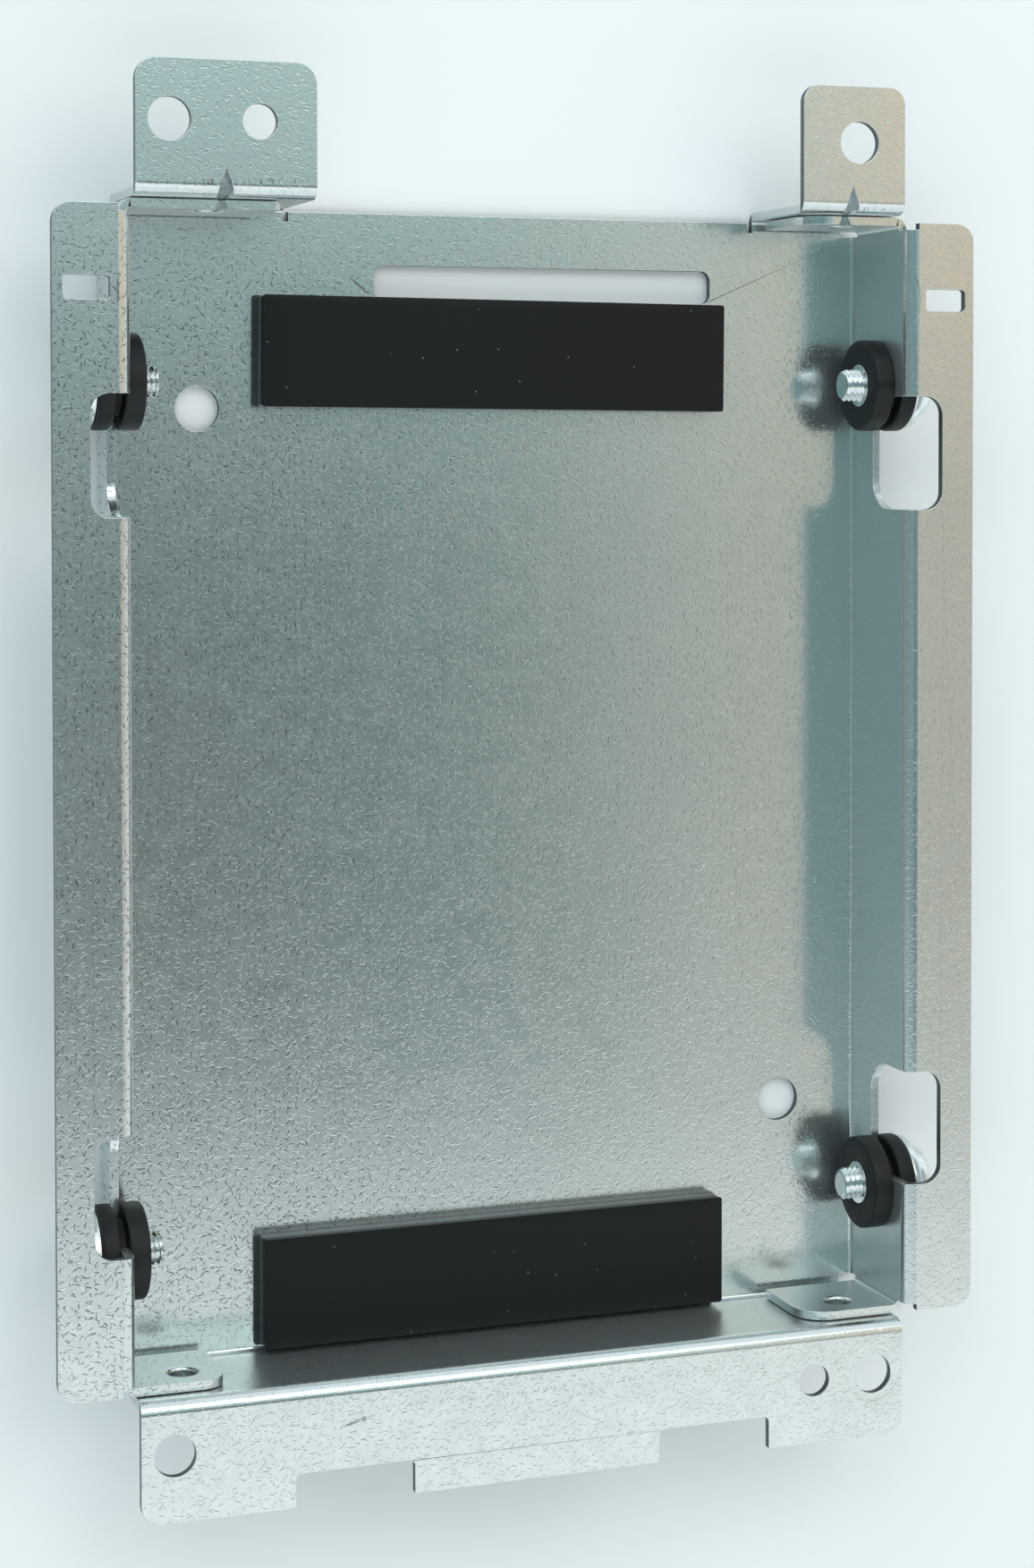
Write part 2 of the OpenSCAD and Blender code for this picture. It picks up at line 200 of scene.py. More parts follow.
soft_boxes = (("key_light", (0.22, 0.58, 0.88), 0.50, 1.4, "#FFFBF6"),
              ("fill_light", (-0.50, 0.75, 0.80), 0.70, 2.6, "#F2F7FF"))
for name, at, size, power, colour in soft_boxes:
    lamp = bpy.data.lights.new(name, "AREA")
    lamp.size = size
    lamp.energy = power
    lamp.color = linear(colour)[:3]
    box = bpy.data.objects.new(name, lamp)
    at = Vector(at)
    box.matrix_world = Matrix.Translation(at) @ (-at).to_track_quat("-Z", "Y").to_matrix().to_4x4()
    bpy.context.scene.collection.objects.link(box)

# Tray
# One blank of 0.8 mm steel, dipped in zinc before it was sheared and folded. The zinc skin
# carries a spangle of short curled crystals, darkest at the left, and the marks of the
# folding tools and of use: a scratch, a rub and dark ticks along the bends.
edge_break = 0.05 * MM
# A stroke of the spangle is about 0.6 mm long and 0.15 mm wide. So a cell is 0.75 mm, and
# crystal_half is half the stroke's length, width and depth in cells.
crystal_mm = 0.75
crystal_half = (0.42, 0.10, 100)
# Share of the cells that hold a stroke.
crystal_share = 0.8
# How far the strokes are curled, in cells.
curl = 0.35
# The skin is clouded over about 2 mm, and lighter and darker over about 13 mm.
mottle_mm = 2.0
patch_mm = 13.0
# A raised stroke stands this high in the relief, and a sunk one is sunk_depth times as deep.
relief_mm = 0.006
sunk_depth = 1.4
mottle_height = 0.7
# Share of the skin that is matte to the eye, matched to the look of the sheet.
dull_share = 0.09
upright_gloss = 0.14
sheared_gloss = 0.12
worn_share = 0.6

# Zinc shows as a soft grey metal that mirrors large tones, and its crystals break up their edges.
galvanised, tree, shader, place = start_material("hot_dip_galvanised_steel")


def in_mm(tree, place, scale_mm, shift=0.0):
    """The piece's own coordinates in units of scale_mm, turned and moved by shift."""
    return add(tree, "ShaderNodeMapping",
               [("Scale", (1 / (scale_mm * MM),) * 3), ("Rotation", (shift, shift * 0.6, shift)),
                ("Location", (shift * 3, shift * 5, shift * 7))], [("Vector", place)]).outputs[0]


def crystals(tree, place, spacing_mm, shift):
    """Short curled strokes, one to a cell of spacing_mm, each turned by the cell's own random
    angle: 1 along its middle, falling to 0 at crystal_half, in shares of the spacing."""
    spot = add(tree, "ShaderNodeMapping",
               [("Scale", (1 / (spacing_mm * MM),) * 3),
                ("Location", (shift, shift * 1.7, shift * 2.3))], [("Vector", place)]).outputs[0]
    swirl = add(tree, "ShaderNodeTexNoise", [("Scale", 1.3), ("Detail", 0.0)],
                [("Vector", spot)]).outputs["Color"]
    spot = add(tree, "ShaderNodeVectorMath", [("operation", "MULTIPLY_ADD"), (1, (curl, curl, 0))],
               [(0, swirl), (2, spot)]).outputs[0]
    cell = add(tree, "ShaderNodeTexVoronoi", [("Scale", 1.0)], [("Vector", spot)])
    away = add(tree, "ShaderNodeVectorMath", [("operation", "SUBTRACT")],
               [(0, spot), (1, cell.outputs["Position"])]).outputs[0]
    chance = add(tree, "ShaderNodeSeparateColor", links=[("Color", cell.outputs["Color"])]).outputs[0]
    angle = add(tree, "ShaderNodeMath", [("operation", "MULTIPLY"), (1, math.tau / crystal_share)],
                [(0, chance)]).outputs[0]
    turned = add(tree, "ShaderNodeVectorRotate", [("rotation_type", "Z_AXIS")],
                 [("Vector", away), ("Angle", angle)]).outputs[0]
    reach = add(tree, "ShaderNodeVectorMath", [("operation", "DIVIDE"), (1, crystal_half)],
                [(0, turned)]).outputs[0]
    reach = add(tree, "ShaderNodeVectorMath", [("operation", "LENGTH")], [(0, reach)]).outputs["Value"]
    stroke = add(tree, "ShaderNodeMapRange",
                 [("interpolation_type", "SMOOTHSTEP"), ("From Min", 1.0), ("From Max", 0.3)],
                 [("Value", reach)]).outputs["Result"]
    kept = add(tree, "ShaderNodeMath", [("operation", "LESS_THAN"), (1, crystal_share)],
               [(0, chance)]).outputs[0]
    return add(tree, "ShaderNodeMath", [("operation", "MULTIPLY")], [(0, stroke), (1, kept)]).outputs[0]


# Two fields of strokes are sunk and dark, and two are raised and pale.
sunk = add(tree, "ShaderNodeMath", [("operation", "MAXIMUM")],
           [(0, crystals(tree, place, crystal_mm, 0.0)),
            (1, crystals(tree, place, crystal_mm * 1.2, 31.9))]).outputs[0]
raised = add(tree, "ShaderNodeMath", [("operation", "MAXIMUM")],
             [(0, crystals(tree, place, crystal_mm, 57.7)),
              (1, crystals(tree, place, crystal_mm * 1.3, 82.6))]).outputs[0]
mottle = add(tree, "ShaderNodeTexNoise", [("Scale", 1.0), ("Detail", 3.0), ("Roughness", 0.6)],
             [("Vector", in_mm(tree, place, mottle_mm, 0.3))]).outputs["Fac"]
patches = add(tree, "ShaderNodeTexNoise", [("Scale", 1.0), ("Detail", 2.0)],
              [("Vector", in_mm(tree, place, patch_mm, 0.5))]).outputs["Fac"]
tone = add(tree, "ShaderNodeMix",
           [("data_type", "RGBA"), (6, linear("#C6CFCF")), (7, linear("#D0D7D7"))],
           [(0, patches)]).outputs[2]
soft_mottle = add(tree, "ShaderNodeMapRange",
                  [("From Min", 0.3), ("From Max", 0.7), ("To Min", 0.0), ("To Max", 0.35)],
                  [("Value", mottle)]).outputs["Result"]
tone = add(tree, "ShaderNodeMix", [("data_type", "RGBA"), (7, linear("#D8DDDC"))],
           [(0, soft_mottle), (6, tone)]).outputs[2]
axis = add(tree, "ShaderNodeSeparateXYZ", links=[("Vector", place)]).outputs
# The strokes fade to the right, and on the tabs and the apron.
strong_left = add(tree, "ShaderNodeMapRange",
                  [("From Min", -20 * MM), ("From Max", 22 * MM), ("To Min", 0.78), ("To Max", 0.06)],
                  [("Value", axis["X"])]).outputs["Result"]
from_middle = add(tree, "ShaderNodeMath", [("operation", "ABSOLUTE")], [(0, axis["Y"])]).outputs[0]
off_tabs = add(tree, "ShaderNodeMapRange",
               [("From Min", 54 * MM), ("From Max", 44 * MM), ("To Min", 0.12)],
               [("Value", from_middle)]).outputs["Result"]
dark_share = add(tree, "ShaderNodeMath", [("operation", "MULTIPLY")],
                 [(0, strong_left), (1, off_tabs)]).outputs[0]
dark_part = add(tree, "ShaderNodeMath", [("operation", "MULTIPLY")],
                [(0, sunk), (1, dark_share)]).outputs[0]
tone = add(tree, "ShaderNodeMix", [("data_type", "RGBA"), (7, linear("#5C6668"))],
           [(0, dark_part), (6, tone)]).outputs[2]
pale_part = add(tree, "ShaderNodeMath", [("operation", "MULTIPLY")],
                [(0, raised), (1, dark_share)]).outputs[0]
tone = add(tree, "ShaderNodeMix", [("data_type", "RGBA"), (7, linear("#DBE1E0"))],
           [(0, pale_part), (6, tone)]).outputs[2]
shader.inputs["Metallic"].default_value = 1 - dull_share
gloss = add(tree, "ShaderNodeMapRange",
            [("From Min", 0.25), ("From Max", 0.75), ("To Min", 0.20), ("To Max", 0.14)],
            [("Value", mottle)]).outputs["Result"]
skin = add(tree, "ShaderNodeMath", [("operation", "MULTIPLY_ADD"), (1, -sunk_depth)],
           [(0, sunk), (2, raised)]).outputs[0]
skin = add(tree, "ShaderNodeMath", [("operation", "MULTIPLY_ADD"), (1, mottle_height)],
           [(0, mottle), (2, skin)]).outputs[0]


def mark(tree, place, at, reach, turn=0.0):
    """Soft ellipse on the sheet: 1 in its middle at, falling to 0 at reach, both in mm."""
    own = add(tree, "ShaderNodeMapping",
              [("vector_type", "TEXTURE"), ("Location", tuple(v * MM for v in at)),
               ("Rotation", (0, 0, turn)), ("Scale", tuple(v * MM for v in reach))],
              [("Vector", place)]).outputs[0]
    return add(tree, "ShaderNodeTexGradient", [("gradient_type", "SPHERICAL")],
               [("Vector", own)]).outputs["Fac"]


# Heights of the floor's and the flanges' front faces, in mm.
floor_face, front_face = 0.8, 12.5
# Each mark's place, reach, turn and hardness. Those named for a fold are broken into ticks.
used_marks = {"scratch": ((-13.1, 45.1, floor_face), (1.25, 0.13, 0.6), math.radians(-40), 4.0),
              "rub": ((-16.5, -55.45, front_face), (0.34, 0.28, 0.6), 0.3, 2.5),
              "rub_tail": ((-17.5, -55.7, front_face), (1.1, 0.14, 0.6), 0.25, 2.0),
              "left_stripe": ((-38.05, 43.8, front_face), (0.16, 1.7, 0.6), 0.0, 1.5),
              "left_tab_fold": ((-28.4, 53.3, front_face), (9.0, 0.30, 0.6), 0.03, 3.0),
              "right_tab_fold": ((31.5, 52.4, front_face), (5.5, 0.30, 0.6), 0.0, 3.0),
              "flange_fold": ((-38.7, -49.5, front_face), (0.30, 3.0, 0.6), 0.0, 2.0),
              "apron_fold": ((2.0, -54.7, front_face), (36.0, 0.30, 0.6), 0.0, 0.6)}
# A tick is about 0.16 mm wide and 1.1 mm long, and runs across the fold.
tick_mm = (0.16, 1.1, 1.1)
tick_noise = add(tree, "ShaderNodeTexNoise", [("Scale", 1.0), ("Detail", 2.0)],
                 [("Vector", add(tree, "ShaderNodeMapping",
                                 [("Scale", tuple(1 / (v * MM) for v in tick_mm))],
                                 [("Vector", place)]).outputs[0])]).outputs["Fac"]
ticks = add(tree, "ShaderNodeMapRange", [("From Min", 0.54), ("From Max", 0.64)],
            [("Value", tick_noise)]).outputs["Result"]
worn = None
for name, (at, reach, turn, hardness) in used_marks.items():
    spot = add(tree, "ShaderNodeMath",
               [("operation", "MULTIPLY"), ("use_clamp", True), (1, hardness)],
               [(0, mark(tree, place, at, reach, turn))]).outputs[0]
    if name.endswith("fold"):
        spot = add(tree, "ShaderNodeMath", [("operation", "MULTIPLY")],
                   [(0, spot), (1, ticks)]).outputs[0]
    if worn is not None:
        spot = add(tree, "ShaderNodeMath", [("operation", "MAXIMUM")],
                   [(0, worn), (1, spot)]).outputs[0]
    worn = spot
worn_part = add(tree, "ShaderNodeMath", [("operation", "MULTIPLY"), (1, worn_share)],
                [(0, worn)]).outputs[0]
tone = add(tree, "ShaderNodeMix", [("data_type", "RGBA"), (7, linear("#645F59"))],
           [(0, worn_part), (6, tone)]).outputs[2]

# Upright faces within the thickness of the floor or the flanges are its sheared edges. They show steel,
# which is rougher and a little darker than the zinc. The rest of their dark tone is painted shade,
# standing in for the shade that lies on these thin faces.
half_way_up, edge_reach = 6.25 * MM, 5.5 * MM
facing = add(tree, "ShaderNodeSeparateXYZ",
             links=[("Vector", add(tree, "ShaderNodeNewGeometry").outputs["Normal"])]).outputs["Z"]
lean = add(tree, "ShaderNodeMath", [("operation", "ABSOLUTE")], [(0, facing)]).outputs[0]
upright = add(tree, "ShaderNodeMapRange", [("From Min", 0.35), ("From Max", 0.15)],
              [("Value", lean)]).outputs["Result"]
height = add(tree, "ShaderNodeMath", [("operation", "SUBTRACT"), (1, half_way_up)],
             [(0, axis["Z"])]).outputs[0]
height = add(tree, "ShaderNodeMath", [("operation", "ABSOLUTE")], [(0, height)]).outputs[0]
in_sheet = add(tree, "ShaderNodeMath", [("operation", "GREATER_THAN"), (1, edge_reach)],
               [(0, height)]).outputs[0]
cut_edge_steel_and_shade = add(tree, "ShaderNodeMath", [("operation", "MULTIPLY")],
              [(0, upright), (1, in_sheet)]).outputs[0]
# Painted shade and bare steel: the cut edges are darkened here, partly for their steel and partly for the
# shade on them.
tone = add(tree, "ShaderNodeMix", [("data_type", "RGBA"), (7, linear("#5F6567"))],
           [(0, cut_edge_steel_and_shade), (6, tone)]).outputs[2]
tree.links.new(tone, shader.inputs["Base Color"])
gloss = add(tree, "ShaderNodeMath", [("operation", "MULTIPLY_ADD"), (1, upright_gloss)],
            [(0, upright), (2, gloss)]).outputs[0]
gloss = add(tree, "ShaderNodeMath", [("operation", "MULTIPLY_ADD"), (1, sheared_gloss)],
            [(0, cut_edge_steel_and_shade), (2, gloss)]).outputs[0]
tree.links.new(gloss, shader.inputs["Roughness"])

# A groove and a line are pressed into the flanges, and a ring round a hole of the apron.
pressed_groove = mark(tree, place, (37.67, 44.05, front_face), (0.5, 2.25, 0.6))
pressed_line = mark(tree, place, (-39.07, 43.9, front_face), (0.2, 1.2, 0.6))
pressed_ring = mark(tree, place, (33.4, -56.8, front_face), (2.9, 2.9, 2.9))
ring_step = add(tree, "ShaderNodeMapRange",
                [("interpolation_type", "SMOOTHSTEP"), ("From Min", 0.06), ("From Max", 0.14),
                 ("To Min", 0.0), ("To Max", 1.6)], [("Value", pressed_ring)]).outputs["Result"]
for pressed in (pressed_groove, pressed_line):
    step = add(tree, "ShaderNodeMapRange",
               [("interpolation_type", "SMOOTHSTEP"), ("From Min", 0.02), ("From Max", 0.30),
                ("To Min", 0.0), ("To Max", 5.0)], [("Value", pressed)]).outputs["Result"]
    skin = add(tree, "ShaderNodeMath", [("operation", "SUBTRACT")], [(0, skin), (1, step)]).outputs[0]
skin = add(tree, "ShaderNodeMath", [("operation", "SUBTRACT")], [(0, skin), (1, ring_step)]).outputs[0]
skin = add(tree, "ShaderNodeMath", [("operation", "SUBTRACT")], [(0, skin), (1, worn)]).outputs[0]
relief = add(tree, "ShaderNodeBump", [("Strength", 0.5), ("Distance", relief_mm * MM)],
             [("Height", skin)])
tree.links.new(relief.outputs[0], shader.inputs["Normal"])


def level_normals(mesh, smooth_within):
    """Each corner takes the mean normal of the faces round its vertex that lie smooth_within its
    own face, weighted by the square of the area of the whole plane each lies in. So a flat face
    stays flat, and a bend turns evenly between the flat faces that it joins."""
    faces, corners = len(mesh.polygons), len(mesh.loops)
    normal, middle = np.empty(faces * 3), np.empty(faces * 3)
    area, sides = np.empty(faces), np.empty(faces, dtype=np.int32)
    vertex = np.empty(corners, dtype=np.int32)
    mesh.polygons.foreach_get("normal", normal)
    mesh.polygons.foreach_get("center", middle)
    mesh.polygons.foreach_get("area", area)
    mesh.polygons.foreach_get("loop_total", sides)
    mesh.loops.foreach_get("vertex_index", vertex)
    normal, middle = normal.reshape(-1, 3), middle.reshape(-1, 3)
    offset = (normal * middle).sum(axis=1)
    turn_steps, depth_step = 500, 0.01 * MM
    key = np.round(np.column_stack([normal * turn_steps, offset / depth_step])).astype(np.int64)
    plane = np.unique(key, axis=0, return_inverse=True)[1].ravel()
    weight = np.bincount(plane, area)[plane] ** 2
    face = np.repeat(np.arange(faces), sides)
    at_vertex = np.bincount(vertex)
    first = np.cumsum(at_vertex) - at_vertex
    partners = at_vertex[vertex]
    own = np.repeat(np.arange(corners), partners)
    step = np.arange(len(own)) - np.repeat(np.cumsum(partners) - partners, partners)
    other = np.argsort(vertex, kind="stable")[first[vertex[own]] + step]
    near = (normal[face[own]] * normal[face[other]]).sum(axis=1) > math.cos(smooth_within)
    pull = normal[face[other]] * (weight[face[other]] * near)[:, None]
    level = np.stack([np.bincount(own, pull[:, k], corners) for k in range(3)], axis=-1)
    level /= np.maximum(np.linalg.norm(level, axis=1, keepdims=True), 1e-30)
    mesh.normals_split_custom_set(level.tolist())


# A merged copy of the node's mesh gets its edges broken and is kept within the CAD box.
tray_mesh = nodes["tray"].data.copy()
shell = bmesh.new()
shell.from_mesh(tray_mesh)
bmesh.ops.remove_doubles(shell, verts=shell.verts, dist=0.001 * MM)
shell.to_mesh(tray_mesh)
shell.free()
tray_mesh.materials.clear()
tray_mesh.materials.append(galvanised)
tray = bpy.data.objects.new("folded_tray", tray_mesh)
bpy.context.scene.collection.objects.link(tray)
broken_edge = tray.modifiers.new("broken_edge", "BEVEL")
broken_edge.width = edge_break
broken_edge.segments = 2
broken_edge.limit_method = "ANGLE"
broken_edge.angle_limit = math.radians(40)
broken_edge.use_clamp_overlap = False
rounded = tray.evaluated_get(bpy.context.evaluated_depsgraph_get())
tray_mesh = bpy.data.meshes.new_from_object(rounded)
corners = np.empty(len(tray_mesh.vertices) * 3)
tray_mesh.vertices.foreach_get("co", corners)
corners = np.clip(corners.reshape(-1, 3), cad_low, cad_high)
tray_mesh.vertices.foreach_set("co", corners.ravel())
tray_mesh.update()
tray_mesh.polygons.foreach_set("use_smooth", np.full(len(tray_mesh.polygons), True))
level_normals(tray_mesh, math.radians(50))
tray.modifiers.clear()
tray.data = tray_mesh
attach(tray, "root")
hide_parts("tray")


# Foam pads
# Two strips of black closed-cell foam, die-cut from sheet, so their faces are flat and
# their sides are straight and a little rough. The drive rests on them.
def closed_surface(name, points, material):
    """Piece from a grid of points. Four neighbours make a face, and the last column joins the
    first. The end rows are points or lie on each other."""
    rows, columns = points.shape[:2]
    index = np.arange(rows * columns).reshape(rows, columns)
    after = np.roll(index, -1, axis=1)
    faces = np.stack([index[:-1], after[:-1], after[1:], index[1:]], axis=-1).reshape(-1, 4)
    mesh = bpy.data.meshes.new(name)
    mesh.from_pydata(points.reshape(-1, 3).tolist(), [], faces.tolist())
    skin = bmesh.new()
    skin.from_mesh(mesh)
    bmesh.ops.remove_doubles(skin, verts=skin.verts, dist=1e-7)
    bmesh.ops.recalc_face_normals(skin, faces=skin.faces)
    skin.to_mesh(mesh)
    skin.free()
    mesh.polygons.foreach_set("use_smooth", np.full(len(mesh.polygons), True))
    mesh.set_sharp_from_angle(angle=math.radians(50))
    mesh.materials.append(material)
    piece = bpy.data.objects.new(name, mesh)
    bpy.context.scene.collection.objects.link(piece)
    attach(piece, "root")
    return piece


def strip(low, high, corner, rim, turn, pull_in, wave):
    """Flat strip. Columns run round a rounded rectangle. Rows run from the back's middle out to
    the rim, up the side, which bows in by pull_in times sin(pi z), round the front rim, and in
    to the front's middle. wave ripples the front by the mean of two sines."""
    low, high = np.array(low), np.array(high)
    half = (high - low)[:2] / 2
    middle = (high + low)[:2] / 2
    angle = (np.arange(4)[:, None] + np.linspace(0, 1, 5)) * math.pi / 2
    signs = np.array([(1, 1), (-1, 1), (-1, -1), (1, -1)])[:, None]
    outline = signs * (half - corner) + corner * np.stack([np.cos(angle), np.sin(angle)], axis=-1)
    outline = outline.reshape(-1, 2)
    between = 14
    part = np.linspace(0, 1, between, endpoint=False)[None, :, None]
    following = np.roll(outline, -1, axis=0)
    outline = (outline[:, None] * (1 - part) + following[:, None] * part).reshape(-1, 2)
    height = high[2] - low[2]
    rise = np.linspace(0, 1, 9)
    bend = np.linspace(0, math.pi / 2, 5)
    inset = np.concatenate([0 * rise, pull_in * np.sin(math.pi * rise), rim * (1 - np.cos(bend)),
                            rim + 0 * rise])[:, None, None]
    up = np.concatenate([0 * rise, rise * (height - rim), height - rim + rim * np.sin(bend),
                         height + 0 * rise])[:, None]
    spread = np.concatenate([rise, np.ones(len(rise) + len(bend)), 1 - rise])[:, None, None]
    x, y = np.moveaxis(outline * spread * (1 - inset / half), -1, 0)
    first, second, slant = 4.3 * MM, 2.9 * MM, 7.7 * MM
    ripple = wave * (np.sin(x / first) + np.sin(y / second + x / slant)) / 2
    z = low[2] + up - (wave + ripple) * (up / height) ** 4
    c, s = math.cos(turn), math.sin(turn)
    return np.stack([middle[0] + c * x - s * y, middle[1] + s * x + c * y, z], axis=-1)


# The foam's cells are about 0.35 mm across.
cell_mm = 0.35
# Grains of dust up to 0.15 mm across lie a few millimetres apart, in cells of 0.9 mm.
dust_mm = 0.9
# Below this height the cut sides are torn and paler.
cut_band_top = 2.0 * MM
# The foam's skin is black with a dull sheen.
foam, tree, shader, place = start_material("black_closed_cell_foam")
cells = add(tree, "ShaderNodeTexNoise", [("Scale", 1.0), ("Detail", 3.0), ("Roughness", 0.7)],
            [("Vector", in_mm(tree, place, cell_mm))]).outputs["Fac"]
height_up = add(tree, "ShaderNodeSeparateXYZ", links=[("Vector", place)]).outputs["Z"]
surface_normal = add(tree, "ShaderNodeNewGeometry").outputs["Normal"]
facing = add(tree, "ShaderNodeSeparateXYZ", links=[("Vector", surface_normal)]).outputs["Z"]
on_side = add(tree, "ShaderNodeMapRange", [("From Min", 0.7), ("From Max", 0.3)],
              [("Value", facing)]).outputs["Result"]
cut_band = add(tree, "ShaderNodeMapRange",
               [("interpolation_type", "SMOOTHSTEP"), ("From Min", cut_band_top + 0.1 * MM),
                ("From Max", cut_band_top - 0.1 * MM)], [("Value", height_up)]).outputs["Result"]
torn = add(tree, "ShaderNodeMath", [("operation", "MULTIPLY")],
           [(0, on_side), (1, cut_band)]).outputs[0]
torn = add(tree, "ShaderNodeMath", [("operation", "MULTIPLY")], [(0, torn), (1, cells)]).outputs[0]
foam_tone = add(tree, "ShaderNodeMix",
                [("data_type", "RGBA"), (6, linear("#070A0C")), (7, linear("#101416"))],
                [(0, cells)]).outputs[2]
foam_tone = add(tree, "ShaderNodeMix", [("data_type", "RGBA"), (7, linear("#7B8485"))],
                [(0, torn), (6, foam_tone)]).outputs[2]
grains = add(tree, "ShaderNodeTexVoronoi", [("Scale", 1.0)],
             [("Vector", in_mm(tree, place, dust_mm, 0.4))])
speck = add(tree, "ShaderNodeMapRange",
            [("From Min", 0.09), ("From Max", 0.05), ("To Min", 0.0), ("To Max", 0.55)],
            [("Value", grains.outputs["Distance"])]).outputs["Result"]
chance = add(tree, "ShaderNodeSeparateColor", links=[("Color", grains.outputs["Color"])]).outputs[0]
sparse = add(tree, "ShaderNodeMath", [("operation", "GREATER_THAN"), (1, 0.86)],
             [(0, chance)]).outputs[0]
dust = add(tree, "ShaderNodeMath", [("operation", "MULTIPLY")], [(0, speck), (1, sparse)]).outputs[0]
foam_tone = add(tree, "ShaderNodeMix", [("data_type", "RGBA"), (7, linear("#A9B0B0"))],
                [(0, dust), (6, foam_tone)]).outputs[2]
tree.links.new(foam_tone, shader.inputs["Base Color"])
shader.inputs["Roughness"].default_value = 0.40
shader.inputs["Specular IOR Level"].default_value = 0.24
pores = add(tree, "ShaderNodeBump", [("Strength", 0.25), ("Distance", 0.03 * MM)], [("Height", cells)])
tree.links.new(pores.outputs[0], shader.inputs["Normal"])

strip_corner = 0.25 * MM
foam_rim = 0.08 * MM
foam_bow = 0.06 * MM
foam_wave = 0.02 * MM
pad_turns = {"upper": math.radians(-0.5), "lower": 0.0}
pad_half = Vector((45.1, 10.1, 0)) * MM / 2
for row, turn in pad_turns.items():
    low, high = (Vector(corner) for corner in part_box(row + "_pad"))
    middle = (low + high) / 2
    pad = closed_surface(row + "_foam_pad",
                         strip((*(middle - pad_half)[:2], low.z), (*(middle + pad_half)[:2], high.z),
                               strip_corner, foam_rim, turn, foam_bow, foam_wave), foam)
    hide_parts(row + "_pad")

# Adhesive tapes
# Black tissue tape holds each pad to the floor. It was cut a little longer than the foam,
# and its edge shows at the left end.
# Tissue tape is a dull dark grey, with fibres in clumps about 0.5 mm across.
fibre_mm = 0.5
tape_finish, tree, shader, place = start_material("black_tissue_tape")
fibres = add(tree, "ShaderNodeTexNoise", [("Scale", 1.0), ("Detail", 3.0)],
             [("Vector", in_mm(tree, place, fibre_mm))]).outputs["Fac"]
tape_tone = add(tree, "ShaderNodeMix",
                [("data_type", "RGBA"), (6, linear("#191C1D")), (7, linear("#34393A"))],
                [(0, fibres)]).outputs[2]
tree.links.new(tape_tone, shader.inputs["Base Color"])
shader.inputs["Roughness"].default_value = 0.5
tape_half = Vector((45.6, 10.1, 0)) * MM / 2
tape_rim = 0.03 * MM
for row, turn in pad_turns.items():
    low, high = (Vector(corner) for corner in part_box(row + "_tape"))
    middle = (low + high) / 2
    tape = closed_surface(row + "_adhesive_tape",
                          strip((*(middle - tape_half)[:2], low.z), (*(middle + tape_half)[:2], high.z),
                                strip_corner, tape_rim, turn, 0.0, 0.0), tape_finish)
    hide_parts(row + "_tape")

# Grommets
# Four moulded black rubber grommets in the side walls' seats. Rubber takes a set under the
# screw, so their flanges are slightly out of round, and the upper right one is nicked.
# The rubber is matte black, with clouds about 1.6 mm across and dents about 0.7 mm across.
cloud_mm = 1.6
dent_mm = 0.7
rubber, tree, shader, place = start_material("moulded_black_rubber")
bloom = add(tree, "ShaderNodeTexNoise", [("Scale", 1.0), ("Detail", 3.0)],
            [("Vector", in_mm(tree, place, cloud_mm))]).outputs["Fac"]
rubber_tone = add(tree, "ShaderNodeMix",
                  [("data_type", "RGBA"), (6, linear("#0C0D0E")), (7, linear("#1A1C1D"))],
                  [(0, bloom)]).outputs[2]
tree.links.new(rubber_tone, shader.inputs["Base Color"])
rubber_gloss = add(tree, "ShaderNodeMapRange", [("To Min", 0.42), ("To Max", 0.60)],
                   [("Value", bloom)]).outputs["Result"]
tree.links.new(rubber_gloss, shader.inputs["Roughness"])
shader.inputs["Specular IOR Level"].default_value = 0.3
flash = add(tree, "ShaderNodeTexNoise", [("Scale", 1.0), ("Detail", 2.0)],
            [("Vector", in_mm(tree, place, dent_mm, 0.8))]).outputs["Fac"]
dents = add(tree, "ShaderNodeBump", [("Strength", 0.3), ("Distance", 0.08 * MM)], [("Height", flash)])
tree.links.new(dents.outputs[0], shader.inputs["Normal"])

nick_limit = 0.05
bore_r = 2.05 * MM
neck_r = 2.95 * MM
rim_r = 0.3 * MM
wall_in, wall_out = 36.8 * MM, 37.6 * MM
screw_z = 5.8 * MM
out_of_round = 0.05 * MM
# Each nick is a flat across the rim: its angle, and how deep it cuts.
nicks = ((2.0, 0.34 * MM), (2.75, 0.22 * MM), (3.6, 0.12 * MM), (1.25, 0.18 * MM))


def rounded_path(corners, steps):
    """Path through corners (x, r, rounding): each is a quadratic curve between points one
    rounding away on either side, (1-t)^2 a + 2t(1-t) corner + t^2 b."""
    corners = np.array(corners)
    at, size = corners[:, :2], corners[:, 2:]
    back = np.roll(at, 1, axis=0) - at
    on = np.roll(at, -1, axis=0) - at
    a = at + back / np.linalg.norm(back, axis=1, keepdims=True) * size
    b = at + on / np.linalg.norm(on, axis=1, keepdims=True) * size
    t = np.linspace(0, 1, steps)[None, :, None]
    curve = (1 - t) ** 2 * a[:, None] + 2 * t * (1 - t) * at[:, None] + t ** 2 * b[:, None]
    return curve.reshape(-1, 2)


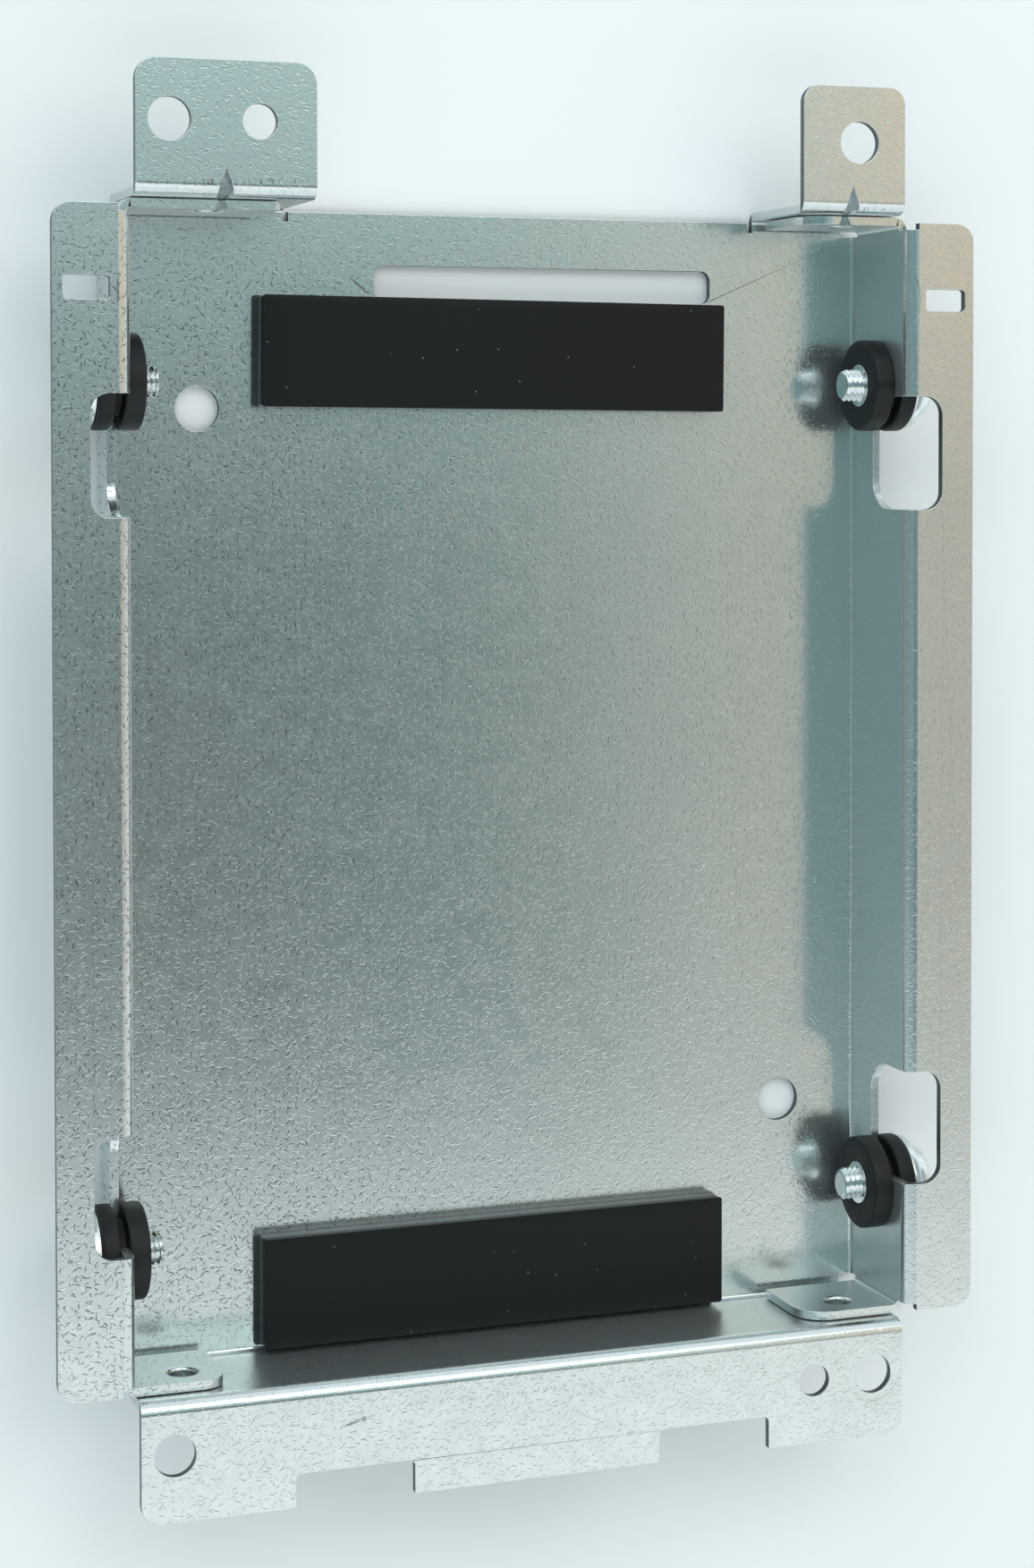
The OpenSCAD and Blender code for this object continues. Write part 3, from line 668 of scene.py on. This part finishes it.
sides = [(row, side, sign) for row in ("upper", "lower")
         for side, sign in (("left", -1), ("right", 1))]
around = np.linspace(0, 2 * math.pi, 96, endpoint=False)
for row, side, sign in sides:
    low, high = (Vector(corner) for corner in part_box(f"{row}_{side}_grommet"))
    face, back = sorted((abs(low.x), abs(high.x)))
    flange_r = (high.y - low.y) / 2
    section = rounded_path([(face, bore_r, rim_r / 2), (face, flange_r, rim_r),
                            (wall_in, flange_r, rim_r), (wall_in, neck_r, rim_r / 3),
                            (wall_out, neck_r, rim_r / 3), (wall_out, flange_r, rim_r),
                            (back, flange_r, rim_r), (back, bore_r, rim_r / 2)], 5)
    x = section[:, :1] + 0 * around
    r = section[:, 1:] + 0 * around
    outer = np.clip((r - neck_r) / (flange_r - neck_r), 0, 1)
    phase = 1.9 * sign + (0.8 if row == "upper" else 2.1)
    r = r - outer * out_of_round * (1 + np.cos(2 * around + phase))
    if (row, side) == ("upper", "right"):
        inner_flange = (outer > 0) & (x < (wall_in + wall_out) / 2)
        for nick_at, depth in nicks:
            flat_r = (flange_r - depth) / np.maximum(np.cos(around - nick_at), nick_limit)
            r = np.where(inner_flange, np.minimum(r, np.maximum(flat_r, neck_r)), r)
    points = np.stack([sign * x, (low.y + high.y) / 2 + r * np.cos(around),
                       screw_z + r * np.sin(around)], axis=-1)
    grommet = closed_surface(f"{row}_{side}_rubber_grommet", np.concatenate([points, points[:1]]), rubber)
    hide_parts(f"{row}_{side}_grommet")

# Screws
# Four M3 shoulder screws, cold headed and thread rolled from steel wire, then plated with
# bright zinc. Each runs through its grommet, and its thread stands out into the bay.
# Bright zinc mirrors the room sharply, and is clouded over about 0.8 mm.
plating_mm = 0.8
plated, tree, shader, place = start_material("bright_zinc_plated_steel")
shader.inputs["Metallic"].default_value = 1.0
plating = add(tree, "ShaderNodeTexNoise", [("Scale", 1.0), ("Detail", 2.0)],
              [("Vector", in_mm(tree, place, plating_mm))]).outputs["Fac"]
plate_tone = add(tree, "ShaderNodeMix",
                 [("data_type", "RGBA"), (6, linear("#D3D9D9")), (7, linear("#EDF0EF"))],
                 [(0, plating)]).outputs[2]
tree.links.new(plate_tone, shader.inputs["Base Color"])
plate_gloss = add(tree, "ShaderNodeMapRange", [("To Min", 0.12), ("To Max", 0.24)],
                  [("Value", plating)]).outputs["Result"]
tree.links.new(plate_gloss, shader.inputs["Roughness"])

thread_r = 1.5 * MM
thread_pitch = 0.5 * MM
thread_deep = 0.28 * MM
tip_chamfer = 0.25 * MM
shoulder_r = 2.0 * MM
shoulder_x = 34.95 * MM
head_flange_r = 4.1 * MM
head_flange_t = 0.8 * MM
head_r = 3.0 * MM
head_h = 1.6 * MM
recess_r = 1.75 * MM
recess_bar = 0.42 * MM
recess_deep = 1.0 * MM
recess_slope = 0.15 * MM
recess_run_in = 0.4 * MM
tip_rows, thread_rows, crown_rows = 6, 60, 40
for row, side, sign in sides:
    low, high = (Vector(corner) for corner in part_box(f"{row}_{side}_screw"))
    tip, top = sorted((abs(low.x), abs(high.x)))
    seat_x = top - head_h - head_flange_t
    body = rounded_path([(shoulder_x, thread_r, 0), (shoulder_x, shoulder_r, 0.05 * MM),
                         (seat_x, shoulder_r, 0.05 * MM), (seat_x, head_flange_r, 0.15 * MM),
                         (seat_x + head_flange_t, head_flange_r, 0.25 * MM),
                         (seat_x + head_flange_t, head_r, 0.1 * MM), (top, head_r, 0.8 * MM),
                         (top, 0, 0)], 5)[5:-5]
    x = np.concatenate([np.full(tip_rows, tip), np.linspace(tip, shoulder_x, thread_rows),
                        body[:, 0], np.full(crown_rows, top)])[:, None] + 0 * around
    r = np.concatenate([np.linspace(0, thread_r - tip_chamfer, tip_rows),
                        np.full(thread_rows, thread_r), body[:, 1],
                        np.linspace(body[-1, 1], 0, crown_rows)])[:, None] + 0 * around
    step = np.arange(len(x))[:, None]
    on_thread = (step >= tip_rows) & (step < tip_rows + thread_rows)
    on_crown = step >= len(x) - crown_rows
    # The groove is a triangle wave along the thread, which moves on by one pitch in a turn.
    turns = (x / thread_pitch - sign * around / (2 * math.pi)) % 1
    groove = thread_r - thread_deep * 2 * np.abs(turns - 0.5)
    r = np.where(on_thread, np.minimum(groove, thread_r - tip_chamfer + (x - tip)), r)
    across_y, across_z = r * np.cos(around), r * np.sin(around)
    # The cross recess is sunk between the edges of its two bars, and rises to the crown's rim.
    from_bar = np.minimum(np.abs(across_y), np.abs(across_z))
    bar = np.clip((recess_bar - from_bar) / recess_slope, 0, 1)
    reach = np.clip((recess_r - r) / recess_run_in, 0, 1)
    x = x - on_crown * recess_deep * bar * reach
    points = np.stack([sign * x, (low.y + high.y) / 2 + across_y, screw_z + across_z], axis=-1)
    screw = closed_surface(f"{row}_{side}_shoulder_screw", points, plated)
    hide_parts(f"{row}_{side}_screw")

low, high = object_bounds()
